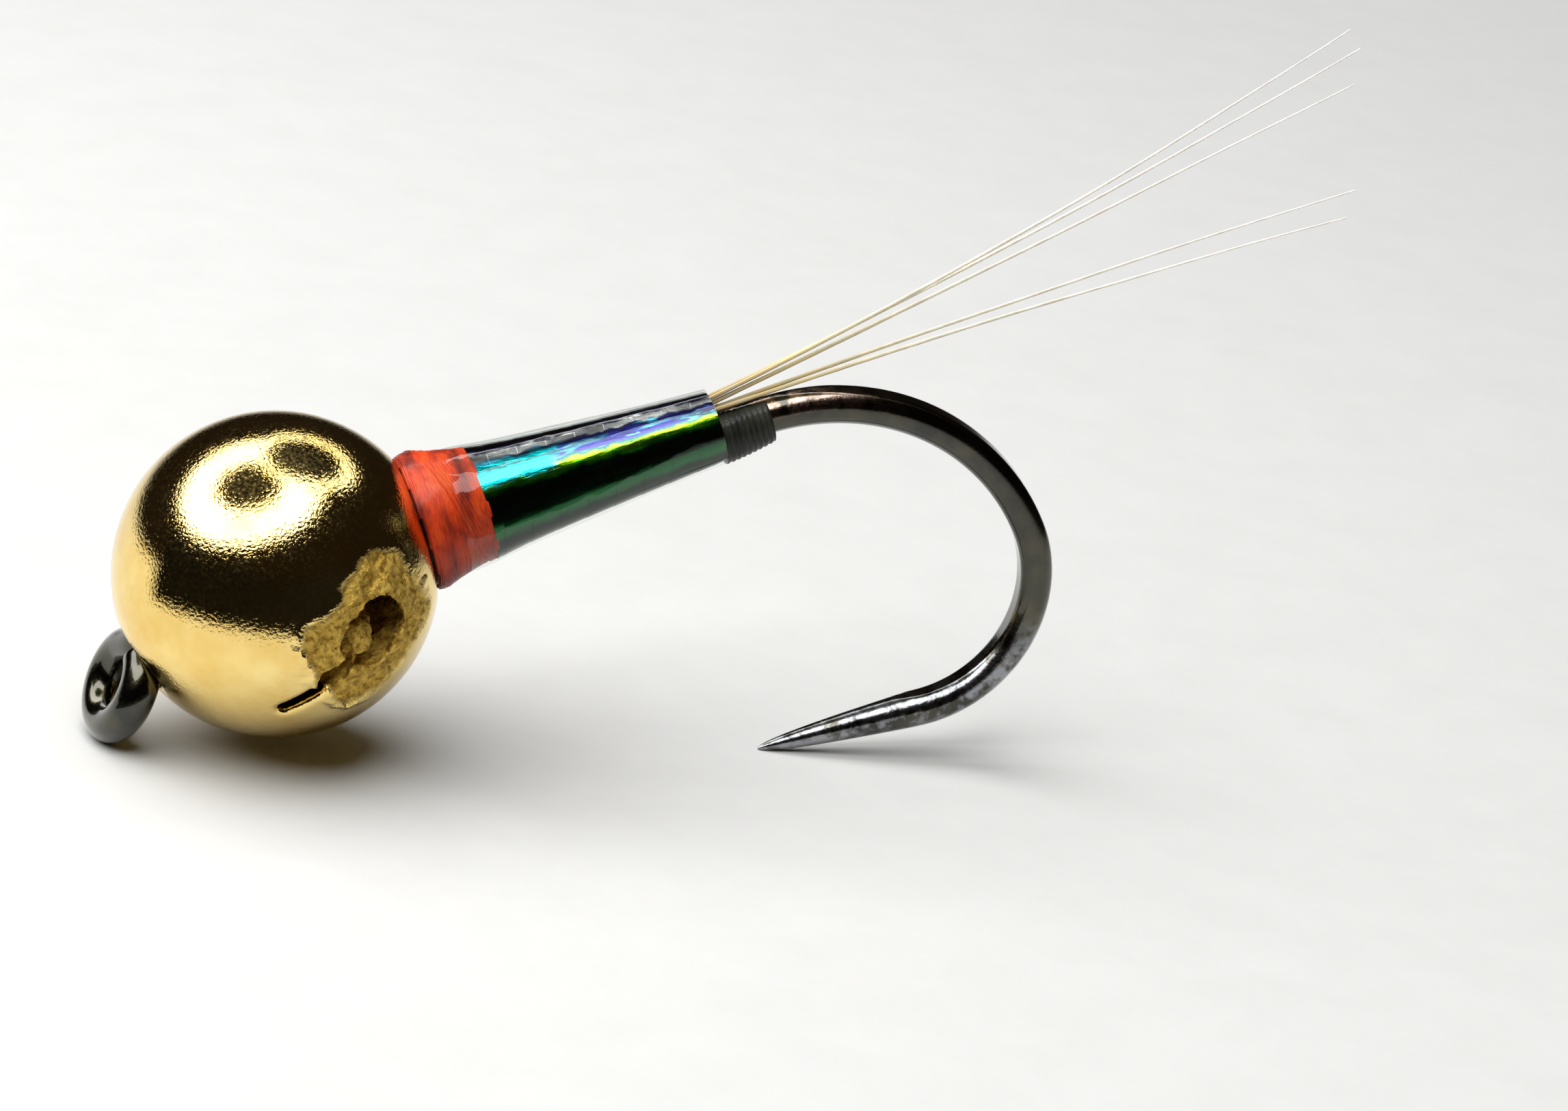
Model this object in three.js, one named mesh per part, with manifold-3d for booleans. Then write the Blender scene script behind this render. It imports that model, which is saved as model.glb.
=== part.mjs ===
// A beaded jig nymph: a fishing fly tied on one barbless jig hook. A slotted metal bead sits
// against the bent-down eye, a dark thread underbody carries a flat tinsel rib and a bright
// thread collar, a clear resin coat seals the body, and soft fibres make the tail.
//
// The fly is laid out with +X along the hook's shank towards the bend, +Z away from the hook
// point and the hook in the XZ plane, its origin at the centre of the hook's eye. The whole
// fly is then pitched up about the eye until the eye and the point stand on one level.
import * as THREE from "three";
import { mergeVertices } from "three/addons/utils/BufferGeometryUtils.js";
import Module from "manifold-3d";

const wasm = await Module();
wasm.setup();

// ---- Driving dimensions, millimetres and degrees ----
const REST_PITCH = 21.2;
const FIT_GAP = 0.012; // between pieces that touch
const CUT_PAST = 0.2; // how far a cutting shape runs past the surface it cuts

const WIRE_RADIUS = 0.275;
const EYE_RADIUS = 0.58; // centre line of the eye's ring
const EYE_TWIST = 6; // the ring is set a little askew
const EYE_SLIT = { width: 0.05, at: 40 }; // where the wire's end closes against the neck
const JIG_ANGLE = 50;
const JIG_BEND_RADIUS = 0.8;
const SHANK_HEIGHT = 0.89; // shank above the eye's centre
const BEND_START = 9.78;
const UPPER_BEND = { radius: 3.53, sweep: 81.6 };
const LOWER_BEND = { radius: 2.0, sweep: 103 };
const SPEAR_LENGTH = 2.53;
const NEEDLE_LENGTH = 2.5; // the point's taper
const NEEDLE_TIP_RADIUS = 0.02;
const FORGED_HALF_THICKNESS = 0.235; // the bend is pressed flat on both sides
const FORGED_FROM = 11.0;

const BEAD_RADIUS = 2.3;
const BEAD_X = 2.5;
const BEAD_BORE_RADIUS = 0.62;
const BEAD_BORE_FRONT = 1.5; // how far the bore runs ahead of the bead's centre
const COUNTERSINK = { mouthRadius: 0.98, depth: 0.9 };
// The keyhole slot, in its own outline: distances along it from where it crosses the bead's
// middle. It is rolled below level and slants up to the rear.
const SLOT = {
  roll: 20,
  slant: 24,
  middleX: 0.215,
  wideFrom: 0.3,
  wideTo: 1.18,
  halfWidth: 0.42,
  neckFrom: -0.93,
  neckHalfWidth: 0.08,
};

const BODY_LIFT = 0.08; // the body's axis above the shank's, lifted by the tail's butts
const BODY_START = 2.05; // the body's stations are measured from the bead's centre
const BODY_END = 6.6;
const BODY_END_RADIUS = 0.55;
const BODY_TAPER = 0.07;
const BODY_FLARE = { height: 0.3, length: 0.7 };
const UNDERBODY_FRONT = 1.15;
const COLLAR = { start: 2.14, end: 3.0, threadRadius: 0.048, turns: 8 };
const TINSEL = { start: 3.26, turns: 9, width: 0.31, thickness: 0.04 };
const RESIN = { start: 2.62, thickness: 0.04 };
const TAIL_WRAPS = {
  length: 0.76,
  turns: 5,
  ridge: 0.025,
  startRadius: 0.45,
  endRadius: 0.36,
  bedHeight: 0.24, // the flat that the fibres lie on, above the shank's centre
};
const FIBRE = { rootRadius: 0.036, tipRadius: 0.012, pitch: 0.08, bedHeight: 0.36 };

// One entry for each tail fibre: its place in the bundle (row up, column across), its length,
// its rise above the shank, its sideways splay and how far it curls up along its length.
const TAIL = [
  { row: 2, column: 0, length: 10.6, rise: 13.5, splay: -0.4, curl: 0.81 },
  { row: 2, column: 1, length: 10.7, rise: 10.9, splay: 0.7, curl: 0.54 },
  { row: 1, column: 0, length: 10.4, rise: 9.2, splay: 0.3, curl: 0.14 },
  { row: 0, column: 0, length: 10.0, rise: 0.8, splay: 0.3, curl: -0.27 },
  { row: 0, column: -1, length: 9.7, rise: -0.6, splay: -1.0, curl: -0.36 },
];

const MATERIALS = {
  hook_wire: new THREE.MeshStandardMaterial({ color: 0x1c1c16, roughness: 0.22, metalness: 1 }),
  bead_metal: new THREE.MeshStandardMaterial({ color: 0xd9a93a, roughness: 0.2, metalness: 1 }),
  dark_thread: new THREE.MeshStandardMaterial({ color: 0x14150f, roughness: 0.7 }),
  bright_thread: new THREE.MeshStandardMaterial({ color: 0xd2411a, roughness: 0.55 }),
  tinsel: new THREE.MeshStandardMaterial({ color: 0x1c7a6c, roughness: 0.25, metalness: 0.8 }),
  resin: new THREE.MeshStandardMaterial({
    color: 0xf2f6ee,
    roughness: 0.05,
    transparent: true,
    opacity: 0.3,
  }),
  tail_fibre: new THREE.MeshStandardMaterial({ color: 0xcdb684, roughness: 0.6 }),
};

// ---- Solids ----
const radians = THREE.MathUtils.degToRad;

function solidOf(geometry) {
  const loose = geometry.index ? geometry.toNonIndexed() : geometry;
  const bare = new THREE.BufferGeometry();
  bare.setAttribute("position", loose.getAttribute("position"));
  const merged = mergeVertices(bare, 1e-4);
  return new wasm.Manifold(
    new wasm.Mesh({
      numProp: 3,
      vertProperties: new Float32Array(merged.attributes.position.array),
      triVerts: new Uint32Array(merged.index.array),
    }),
  );
}

function geometryOf(solid) {
  const mesh = solid.getMesh();
  const geometry = new THREE.BufferGeometry();
  geometry.setAttribute("position", new THREE.BufferAttribute(mesh.vertProperties, 3));
  geometry.setIndex(new THREE.BufferAttribute(mesh.triVerts, 1));
  geometry.computeVertexNormals();
  return geometry;
}

// A closed skin over a row of rings of points, with a flat cap on each end.
function skin(rings) {
  const sides = rings[0].length;
  const last = rings.length - 1;
  const corner = (ring, side) => ring * sides + (side % sides);
  const index = [];
  for (let ring = 0; ring < last; ring++) {
    for (let side = 0; side < sides; side++) {
      const near = corner(ring, side);
      const far = corner(ring + 1, side + 1);
      index.push(near, far, corner(ring, side + 1));
      index.push(near, corner(ring + 1, side), far);
    }
  }
  for (let side = 1; side + 1 < sides; side++) {
    index.push(corner(0, 0), corner(0, side), corner(0, side + 1));
    index.push(corner(last, 0), corner(last, side + 1), corner(last, side));
  }
  const geometry = new THREE.BufferGeometry().setFromPoints(rings.flat());
  geometry.setIndex(index);
  return geometry;
}

// A solid turned about the X axis from [x, radius] stations.
function turned(stations, segments = 32) {
  const outline = stations.map(([x, radius]) => new THREE.Vector2(radius, x));
  return new THREE.LatheGeometry(outline, segments).rotateZ(-Math.PI / 2);
}

// Evenly spaced numbers from one value to another, both ends included.
function spaced(from, to, steps) {
  return Array.from({ length: steps + 1 }, (_, i) => from + ((to - from) * i) / steps);
}

// A strand wound round the X axis: section holds [along, outward] offsets from its centre.
function wound({ start, end, turns, radiusAt, section, stepsPerTurn }) {
  const steps = Math.round(turns * stepsPerTurn);
  const rings = spaced(0, 1, steps).map((share) => {
    const angle = 2 * Math.PI * turns * share;
    const x = start + (end - start) * share;
    return section.map(([along, outward]) => {
      const radius = radiusAt(x + along) + outward;
      return new THREE.Vector3(x + along, -radius * Math.cos(angle), radius * Math.sin(angle));
    });
  });
  return skin(rings);
}

// ---- Hook ----
class PlaneArc extends THREE.Curve {
  constructor(x, z, radius, fromAngle, toAngle) {
    super();
    Object.assign(this, { x, z, radius, fromAngle, toAngle });
  }
  getPoint(t, target = new THREE.Vector3()) {
    const angle = this.fromAngle + (this.toAngle - this.fromAngle) * t;
    const x = this.x + this.radius * Math.cos(angle);
    return target.set(x, 0, this.z + this.radius * Math.sin(angle));
  }
}

const inPlane = (x, z) => new THREE.Vector3(x, 0, z);

// The wire's centre line from the eye's ring to the needle point, as pieces with the number
// of rings that each one needs.
function hookPieces() {
  const jig = radians(JIG_ANGLE);
  const vertexX = SHANK_HEIGHT / Math.tan(jig);
  const tangent = JIG_BEND_RADIUS * Math.tan(jig / 2);
  const neck = (distance) => inPlane(distance * Math.cos(jig), distance * Math.sin(jig));
  const neckLength = SHANK_HEIGHT / Math.sin(jig);
  const shankStart = inPlane(vertexX + tangent, SHANK_HEIGHT);
  const upperStart = Math.PI / 2;
  const upperEnd = upperStart - radians(UPPER_BEND.sweep);
  const lowerEnd = upperEnd - radians(LOWER_BEND.sweep);
  const upperZ = SHANK_HEIGHT - UPPER_BEND.radius;
  const shift = UPPER_BEND.radius - LOWER_BEND.radius;
  const lowerX = BEND_START + shift * Math.cos(upperEnd);
  const lowerZ = upperZ + shift * Math.sin(upperEnd);
  const spearStart = inPlane(
    lowerX + LOWER_BEND.radius * Math.cos(lowerEnd),
    lowerZ + LOWER_BEND.radius * Math.sin(lowerEnd),
  );
  const spearWay = inPlane(Math.sin(lowerEnd), -Math.cos(lowerEnd));
  const point = spearStart.clone().addScaledVector(spearWay, SPEAR_LENGTH);
  const jigZ = SHANK_HEIGHT - JIG_BEND_RADIUS;
  return [
    [new THREE.LineCurve3(neck(EYE_RADIUS), neck(neckLength - tangent)), 1],
    [new PlaneArc(shankStart.x, jigZ, JIG_BEND_RADIUS, upperStart + jig, upperStart), 6],
    [new THREE.LineCurve3(shankStart, inPlane(BEND_START, SHANK_HEIGHT)), 2],
    [new PlaneArc(BEND_START, upperZ, UPPER_BEND.radius, upperStart, upperEnd), 16],
    [new PlaneArc(lowerX, lowerZ, LOWER_BEND.radius, upperEnd, lowerEnd), 14],
    [new THREE.LineCurve3(spearStart, point), 8],
  ];
}

function needleRadius(distanceToPoint) {
  const share = Math.min(1, distanceToPoint / NEEDLE_LENGTH);
  return Math.max(NEEDLE_TIP_RADIUS, WIRE_RADIUS * Math.sqrt(share));
}

// The whole wire as one solid, grown all round by extra.
function hookSolid(extra = 0, sides = 12) {
  const pieces = hookPieces();
  const rings = [];
  pieces.forEach(([curve, steps], piece) => {
    const isSpear = piece === pieces.length - 1;
    spaced(0, 1, steps).forEach((t, i) => {
      if (i === 0 && piece > 0) return;
      const centre = curve.getPoint(t);
      const way = curve.getTangent(t);
      const outward = inPlane(-way.z, way.x);
      const left = isSpear ? curve.getLength() * (1 - t) : NEEDLE_LENGTH;
      const radius = needleRadius(left) + extra;
      const ring = spaced(0, 2 * Math.PI, sides).slice(0, sides).map((angle) => {
        const spot = centre.clone().addScaledVector(outward, radius * Math.cos(angle));
        spot.y += radius * Math.sin(angle);
        return spot;
      });
      rings.push(ring);
    });
  });
  const ringOfEye = new THREE.TorusGeometry(EYE_RADIUS, WIRE_RADIUS + extra, sides, 28);
  return solidOf(skin(rings)).add(solidOf(turnToEye(ringOfEye)));
}

// Takes a shape made round the Z axis to the eye, where it stands across the hook's plane.
function turnToEye(geometry) {
  return geometry.rotateX(radians(EYE_TWIST)).rotateY(-radians(JIG_ANGLE));
}

function hook() {
  const slitAngle = radians(EYE_SLIT.at);
  const slitSide = 2 * WIRE_RADIUS + CUT_PAST / 2;
  const slit = new THREE.BoxGeometry(slitSide, EYE_SLIT.width, slitSide).rotateZ(slitAngle);
  slit.translate(EYE_RADIUS * Math.cos(slitAngle), EYE_RADIUS * Math.sin(slitAngle), 0);
  const slabLength = 2 * UPPER_BEND.radius;
  const slabHeight = 4 * UPPER_BEND.radius;
  const slabDepth = 2 * WIRE_RADIUS;
  const slabX = FORGED_FROM + slabLength / 2;
  const slabY = FORGED_HALF_THICKNESS + slabDepth / 2;
  const slab = (side) => {
    const box = new THREE.BoxGeometry(slabLength, slabDepth, slabHeight);
    return solidOf(box.translate(slabX, side * slabY, 0));
  };
  const wire = hookSolid().subtract(solidOf(turnToEye(slit)));
  return wire.subtract(slab(1)).subtract(slab(-1));
}

// ---- Bead ----
function beadBall() {
  const angles = spaced(Math.PI, 0, 22);
  const stations = angles.map((a) => [BEAD_RADIUS * Math.cos(a), BEAD_RADIUS * Math.sin(a)]);
  stations[0][1] = 0;
  stations[stations.length - 1][1] = 0;
  return solidOf(turned(stations, 44));
}

function beadBore() {
  const mouth = Math.sqrt(BEAD_RADIUS ** 2 - COUNTERSINK.mouthRadius ** 2);
  const slope = (COUNTERSINK.mouthRadius - BEAD_BORE_RADIUS) / COUNTERSINK.depth;
  const past = BEAD_RADIUS - mouth + CUT_PAST;
  const stations = [
    [-BEAD_BORE_FRONT, 0],
    [-BEAD_BORE_FRONT, BEAD_BORE_RADIUS],
    [mouth - COUNTERSINK.depth, BEAD_BORE_RADIUS],
    [mouth + past, COUNTERSINK.mouthRadius + slope * past],
    [mouth + past, 0],
  ];
  return solidOf(turned(stations, 28));
}

// The keyhole slot opens through one side of the bead into its bore: a wide window with
// rounded corners and a narrow neck that runs forwards from it.
function beadSlot() {
  const { halfWidth, neckHalfWidth, wideFrom, wideTo, neckFrom } = SLOT;
  const corner = halfWidth * 0.8;
  const quarter = Math.PI / 2;
  const outline = new THREE.Shape();
  outline.absarc(wideTo - corner, halfWidth - corner, corner, 0, quarter, false);
  outline.absarc(wideFrom + corner, halfWidth - corner, corner, quarter, 2 * quarter, false);
  outline.lineTo(wideFrom, neckHalfWidth);
  outline.absarc(neckFrom + neckHalfWidth, 0, neckHalfWidth, quarter, 3 * quarter, false);
  outline.lineTo(wideFrom, -neckHalfWidth);
  outline.absarc(wideFrom + corner, corner - halfWidth, corner, 2 * quarter, 3 * quarter, false);
  outline.absarc(wideTo - corner, corner - halfWidth, corner, 3 * quarter, 4 * quarter, false);
  const depth = BEAD_RADIUS + CUT_PAST;
  const cutter = new THREE.ExtrudeGeometry(outline, { depth, bevelEnabled: false, curveSegments: 5 });
  cutter.rotateZ(radians(SLOT.slant)).translate(SLOT.middleX, 0, 0);
  return solidOf(cutter.rotateX(Math.PI / 2 + radians(SLOT.roll)));
}

function bead() {
  const ball = beadBall().subtract(beadBore()).subtract(beadSlot());
  return ball.translate([BEAD_X, 0, SHANK_HEIGHT]).subtract(hookSolid(FIT_GAP));
}

// ---- Body ----
// The finished body's outer radius at a distance behind the bead's centre.
function bodyRadius(x) {
  const flare = BODY_FLARE.height * Math.exp(-(x - BODY_START) / BODY_FLARE.length);
  return BODY_END_RADIUS + BODY_TAPER * (BODY_END - x) + flare;
}

const threadCentre = (x) => bodyRadius(x) - RESIN.thickness - FIT_GAP - COLLAR.threadRadius;
const tinselCentre = (x) => bodyRadius(x) - RESIN.thickness - FIT_GAP - TINSEL.thickness / 2;

function underCollar(x) {
  return threadCentre(x) - COLLAR.threadRadius - FIT_GAP;
}

function underTinsel(x) {
  return tinselCentre(x) - TINSEL.thickness / 2 - FIT_GAP;
}

// Moves a body piece from its own stations to its place on the hook.
function onBody(geometry) {
  return geometry.translate(BEAD_X, 0, SHANK_HEIGHT + BODY_LIFT);
}

function underbody() {
  const clearance = BODY_LIFT + FIT_GAP;
  const collarEnd = COLLAR.end + COLLAR.threadRadius;
  const stations = [
    [UNDERBODY_FRONT, 0],
    [UNDERBODY_FRONT, BEAD_BORE_RADIUS - clearance],
    [BODY_START, COUNTERSINK.mouthRadius - clearance - FIT_GAP],
    [COLLAR.start - COLLAR.threadRadius, underCollar(COLLAR.start)],
    ...spaced(COLLAR.start, collarEnd, 6).map((x) => [x, underCollar(x)]),
    ...spaced(collarEnd + 0.01, BODY_END, 10).map((x) => [x, underTinsel(x)]),
    [BODY_END, 0],
  ];
  return solidOf(onBody(turned(stations))).subtract(hookSolid(FIT_GAP));
}

function collar() {
  const corners = spaced(0, 2 * Math.PI, 6).slice(0, 6);
  const section = corners.map((a) => [
    COLLAR.threadRadius * Math.cos(a),
    COLLAR.threadRadius * Math.sin(a),
  ]);
  const { start, end, turns } = COLLAR;
  return onBody(wound({ start, end, turns, radiusAt: threadCentre, section, stepsPerTurn: 16 }));
}

function tinsel() {
  const { start, turns, width, thickness } = TINSEL;
  const section = [
    [-width / 2, -thickness / 2],
    [width / 2, -thickness / 2],
    [width / 2, thickness / 2],
    [-width / 2, thickness / 2],
  ];
  const end = BODY_END - width / 2;
  return onBody(wound({ start, end, turns, radiusAt: tinselCentre, section, stepsPerTurn: 18 }));
}

function resin() {
  const along = spaced(RESIN.start, BODY_END, 10);
  const outside = along.map((x) => [x, bodyRadius(x)]);
  const inside = along.map((x) => [x, bodyRadius(x) - RESIN.thickness]);
  return onBody(turned([...outside, ...inside.reverse(), outside[0]]));
}

// Dark thread that binds the tail down behind the tinsel, hollowed on top to bed the fibres.
function tailWraps() {
  const start = BODY_END + FIT_GAP;
  const { length, turns, ridge, startRadius, endRadius, bedHeight } = TAIL_WRAPS;
  const stations = spaced(0, 1, turns * 3).map((share) => {
    const core = THREE.MathUtils.lerp(startRadius, endRadius, share);
    return [start + length * share, core - ridge * Math.cos(2 * Math.PI * turns * share)];
  });
  const closed = [[start, 0], ...stations, [start + length, 0]];
  const wraps = turned(closed, 24).translate(BEAD_X, 0, SHANK_HEIGHT - BODY_LIFT / 2);
  const bedSide = 4 * length;
  const bed = new THREE.BoxGeometry(bedSide, bedSide, bedSide);
  bed.translate(BEAD_X + BODY_END, 0, SHANK_HEIGHT + bedHeight + bedSide / 2);
  return solidOf(wraps).subtract(solidOf(bed)).subtract(hookSolid(FIT_GAP));
}

// ---- Tail ----
function fibre({ row, column, length, rise, splay, curl }) {
  const root = new THREE.Vector3(
    BEAD_X + BODY_END + FIT_GAP,
    column * FIBRE.pitch,
    SHANK_HEIGHT + FIBRE.bedHeight + row * FIBRE.pitch,
  );
  const climb = Math.tan(radians(rise));
  const spread = Math.tan(radians(splay));
  const reach = length * Math.cos(radians(rise));
  const sides = 6;
  const rings = spaced(0, 1, 8).map((share) => {
    const run = reach * share;
    const bow = curl * (share * share - share);
    const radius = THREE.MathUtils.lerp(FIBRE.rootRadius, FIBRE.tipRadius, share);
    return spaced(0, 2 * Math.PI, sides).slice(0, sides).map((a) => {
      const y = root.y + run * spread + radius * Math.sin(a);
      const z = root.z + run * climb + bow + radius * Math.cos(a);
      return new THREE.Vector3(root.x + run, y, z);
    });
  });
  return skin(rings);
}

// ---- Assembly ----
const fly = new THREE.Group();
fly.rotation.y = -radians(REST_PITCH);

function place(name, geometry, material) {
  const mesh = new THREE.Mesh(geometry, material);
  mesh.name = name;
  fly.add(mesh);
}

place("jig_hook", geometryOf(hook()), MATERIALS.hook_wire);
place("slotted_bead", geometryOf(bead()), MATERIALS.bead_metal);
place("underbody_thread", geometryOf(underbody()), MATERIALS.dark_thread);
place("collar_thread", collar(), MATERIALS.bright_thread);
place("body_tinsel", tinsel(), MATERIALS.tinsel);
place("resin_coat", resin(), MATERIALS.resin);
place("tail_binding_thread", geometryOf(tailWraps()), MATERIALS.dark_thread);
TAIL.forEach((strand, i) => place(`tail_fibre_${i + 1}`, fibre(strand), MATERIALS.tail_fibre));

const part = new THREE.Group();
part.add(fly);
export default part;
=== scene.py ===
"""A beaded jig nymph: the detailed visual model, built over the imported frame.

Lengths are in millimetres in the fly's own axes, which the CAD uses too: the origin is the
centre of the hook's eye, +X runs along the shank and +Z points away from the hook point.
to_row() pitches them to the rest pose and turns them into metres.
"""

import math
import bpy
import numpy as np
from mathutils import Matrix, Vector, noise


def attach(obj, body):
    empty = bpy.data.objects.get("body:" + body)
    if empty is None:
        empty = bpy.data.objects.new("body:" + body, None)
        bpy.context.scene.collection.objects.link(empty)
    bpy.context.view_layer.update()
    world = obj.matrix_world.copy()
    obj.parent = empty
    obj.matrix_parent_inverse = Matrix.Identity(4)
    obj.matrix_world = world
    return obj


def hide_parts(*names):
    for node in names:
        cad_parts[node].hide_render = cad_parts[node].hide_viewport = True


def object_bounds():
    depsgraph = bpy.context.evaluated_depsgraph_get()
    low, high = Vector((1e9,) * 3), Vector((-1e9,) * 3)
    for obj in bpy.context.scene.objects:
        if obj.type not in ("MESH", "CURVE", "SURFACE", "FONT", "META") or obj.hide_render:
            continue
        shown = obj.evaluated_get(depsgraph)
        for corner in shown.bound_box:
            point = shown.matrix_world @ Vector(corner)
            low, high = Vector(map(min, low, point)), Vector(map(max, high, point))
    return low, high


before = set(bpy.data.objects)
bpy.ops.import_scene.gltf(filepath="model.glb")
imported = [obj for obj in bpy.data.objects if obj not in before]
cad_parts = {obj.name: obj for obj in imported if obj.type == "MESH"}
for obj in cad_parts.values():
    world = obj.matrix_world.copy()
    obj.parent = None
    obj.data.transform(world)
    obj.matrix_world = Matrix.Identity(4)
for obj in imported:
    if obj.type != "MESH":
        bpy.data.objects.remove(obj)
cad_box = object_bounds()

# ---- Driving dimensions, the same as the CAD's ----
REST_PITCH = math.radians(21.2)
WIRE_RADIUS = 0.275
EYE_RADIUS = 0.58
EYE_TWIST = math.radians(6)
JIG_ANGLE = math.radians(50)
JIG_BEND_RADIUS = 0.8
SHANK_HEIGHT = 0.89
BEND_START = 9.78
UPPER_BEND = (3.53, math.radians(81.6))
LOWER_BEND = (2.0, math.radians(103))
SPEAR_LENGTH = 2.53
NEEDLE_LENGTH = 2.5
FORGED_HALF_THICKNESS = 0.235
BEAD_RADIUS = 2.3
BEAD_CENTRE = np.array([2.5, 0.0, SHANK_HEIGHT])
BORE_RADIUS = 0.62
BODY_AXIS = np.array([2.5, 0.0, SHANK_HEIGHT + 0.08])
BODY_END = 6.6
RESIN_START = 2.62

# ---- Camera: the direction it looks from, its tilt and its distance ----
VIEW_AZIMUTH = math.radians(-20.24)
VIEW_ELEVATION = math.radians(20.73)
VIEW_ROLL = math.radians(9.15)
VIEW_DISTANCE = 80.0
VIEW_SHIFT = (7.14, 0.26)
LENS = 130.8

SHARP_ANGLE = math.radians(40)  # edges folded more than this are left crisp


# ---- Placing and meshing ----
def to_row(points):
    """Points in the fly's axes, in millimetres, as metres in the row frame."""
    points = np.asarray(points, float)
    turn = np.array(
        [
            [math.cos(REST_PITCH), 0, -math.sin(REST_PITCH)],
            [0, 1, 0],
            [math.sin(REST_PITCH), 0, math.cos(REST_PITCH)],
        ]
    )
    return points @ turn.T * 0.001


def make_object(name, points, faces, material):
    """A mesh object from points in the fly's axes, with its faces turned to look outwards."""
    mesh = bpy.data.meshes.new(name)
    mesh.from_pydata(to_row(points).tolist(), [], faces)
    mesh.polygons.foreach_set("use_smooth", [True] * len(mesh.polygons))
    mesh.materials.append(material)
    mesh.update()
    mesh.set_sharp_from_angle(angle=SHARP_ANGLE)
    obj = bpy.data.objects.new(name, mesh)
    bpy.context.scene.collection.objects.link(obj)
    return obj


def piece(name, parts, material, node):
    """One visible piece joined from (points, faces) parts, which stands for a CAD node."""
    points = []
    faces = []
    for part_points, part_faces in parts:
        start = len(points)
        points.extend(part_points)
        faces.extend([tuple(corner + start for corner in face) for face in part_faces])
    obj = make_object(name, points, faces, material)
    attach(obj, "root")
    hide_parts(node)
    return obj


def enclosed_volume(points, faces):
    """The signed volume inside a closed skin of rings: negative if it faces inwards."""
    total = 0.0
    for face in faces:
        first = points[face[0]]
        for second, third in zip(face[1:], face[2:]):
            total += np.dot(first, np.cross(points[second], points[third]))
    return total


def skin(rings, looped=False):
    """(points, faces) of a closed skin over rings of points. It has an end face at each end,
    or, when looped, joins its last ring to its first."""
    rings = np.asarray(rings, float)
    count, sides = rings.shape[:2]
    points = rings.reshape(-1, 3)
    faces = []
    for ring in range(count if looped else count - 1):
        here = ring * sides
        there = (ring + 1) % count * sides
        for side in range(sides):
            after = (side + 1) % sides
            faces.append((here + side, here + after, there + after, there + side))
    if not looped:
        faces.append(tuple(reversed(range(sides))))
        faces.append(tuple(range((count - 1) * sides, count * sides)))
    if enclosed_volume(points, faces) < 0:
        faces = [tuple(reversed(face)) for face in faces]
    return points, faces


def unit(vector):
    return vector / np.linalg.norm(vector)


def swept(path, radii, sides, normal, shape=None):
    """Rings round a path, carried along it without twist. shape(ring index, cos, sin) may
    change the two offsets of each point of a ring."""
    path = np.asarray(path, float)
    ways = np.gradient(path, axis=0)
    angles = np.linspace(0, 2 * math.pi, sides, endpoint=False)
    across = np.asarray(normal, float)
    rings = []
    for i, (centre, way, radius) in enumerate(zip(path, ways, radii)):
        way = unit(way)
        across = unit(across - way * np.dot(across, way))
        side = np.cross(way, across)
        out, over = radius * np.cos(angles), radius * np.sin(angles)
        if shape:
            out, over = shape(i, out, over)
        rings.append(centre + np.outer(out, across) + np.outer(over, side))
    return rings


def round_body(x, angle, radius, axis=BODY_AXIS):
    """Points at an angle round the body's axis: 0 faces -Y and 90 degrees faces +Z."""
    x, angle, radius = np.broadcast_arrays(x, angle, radius)
    y = -radius * np.cos(angle)
    z = radius * np.sin(angle)
    return axis + np.stack([x, y, z], axis=-1)


def lathe(stations, radius_at, sides, axis=BODY_AXIS):
    """Rings at each station x, whose radius is radius_at(x, angles)."""
    angles = np.linspace(0, 2 * math.pi, sides, endpoint=False)
    return [round_body(x, angles, radius_at(x, angles), axis) for x in stations]


def wavy(value, seed):
    """A smooth random-looking number from -1 to 1."""
    return noise.noise(Vector((value, seed * 7.31, seed * 3.17)))


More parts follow.
